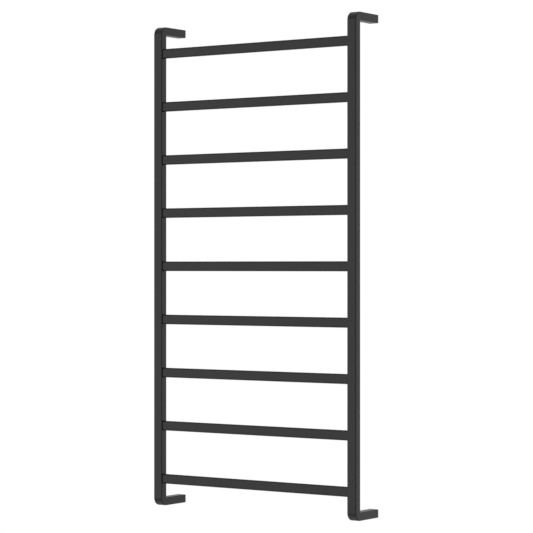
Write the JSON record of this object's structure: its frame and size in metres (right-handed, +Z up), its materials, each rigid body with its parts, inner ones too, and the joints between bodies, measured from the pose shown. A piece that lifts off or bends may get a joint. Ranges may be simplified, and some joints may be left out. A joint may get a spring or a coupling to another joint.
{
  "type": "towel warmer rack",
  "caption": "Wall-hung electric towel rack: two square-tube rails with returns to the wall and flat hollow cross bars, matte black powder coat.",
  "frame": {"origin": "on the wall plane, midway between the four wall blocks: half the rack's height and half its width", "axes": "+X across the rack to the right as seen from the room, +Z up along the rails, +Y into the wall; the rack stands off the wall towards -Y"},
  "size_m": [0.6, 0.1, 1.2],
  "materials": {
    "rail_coat": "matte black powder coat",
    "bar_coat": "matte black powder coat",
    "collar_rubber": "matte",
    "bracket_zinc": "die cast",
    "grub_steel": "black oxide",
    "cable_silicone": "satin",
    "seal_rubber": "matte",
    "cutout_nylon": "moulded",
    "lead_rubber": "satin",
    "terminal_nylon": "moulded",
    "terminal_steel": "plated",
    "earth_sheath": "satin"
  },
  "bodies": {
    "root": {"left_rail": "rail_coat", "right_rail": "rail_coat", "bar_1": "bar_coat", "bar_2": "bar_coat", "bar_3": "bar_coat", "bar_4": "bar_coat", "bar_5": "bar_coat", "bar_6": "bar_coat", "bar_7": "bar_coat", "bar_8": "bar_coat", "bar_9": "bar_coat", "bar_collar_left_1": "collar_rubber", "bar_collar_left_2": "collar_rubber", "bar_collar_left_3": "collar_rubber", "bar_collar_left_4": "collar_rubber", "bar_collar_left_5": "collar_rubber", "bar_collar_left_6": "collar_rubber", "bar_collar_left_7": "collar_rubber", "bar_collar_left_8": "collar_rubber", "bar_collar_left_9": "collar_rubber", "bar_collar_right_1": "collar_rubber", "bar_collar_right_2": "collar_rubber", "bar_collar_right_3": "collar_rubber", "bar_collar_right_4": "collar_rubber", "bar_collar_right_5": "collar_rubber", "bar_collar_right_6": "collar_rubber", "bar_collar_right_7": "collar_rubber", "bar_collar_right_8": "collar_rubber", "bar_collar_right_9": "collar_rubber", "wall_bracket_top_left": "bracket_zinc", "wall_bracket_top_right": "bracket_zinc", "wall_bracket_bottom_left": "bracket_zinc", "wall_bracket_bottom_right": "bracket_zinc", "grub_screw_top_left": "grub_steel", "grub_screw_top_right": "grub_steel", "grub_screw_bottom_left": "grub_steel", "grub_screw_bottom_right": "grub_steel", "heating_cable": "cable_silicone", "cable_end_seal": "seal_rubber", "thermal_cutout": "cutout_nylon", "cold_lead": "lead_rubber", "terminal_block": "terminal_nylon", "terminal_screw_1": "terminal_steel", "terminal_screw_2": "terminal_steel", "terminal_screw_3": "terminal_steel", "earth_tab": "terminal_steel", "earth_lead": "earth_sheath", "cable_grommet": "seal_rubber"}
  },
  "joints": []
}
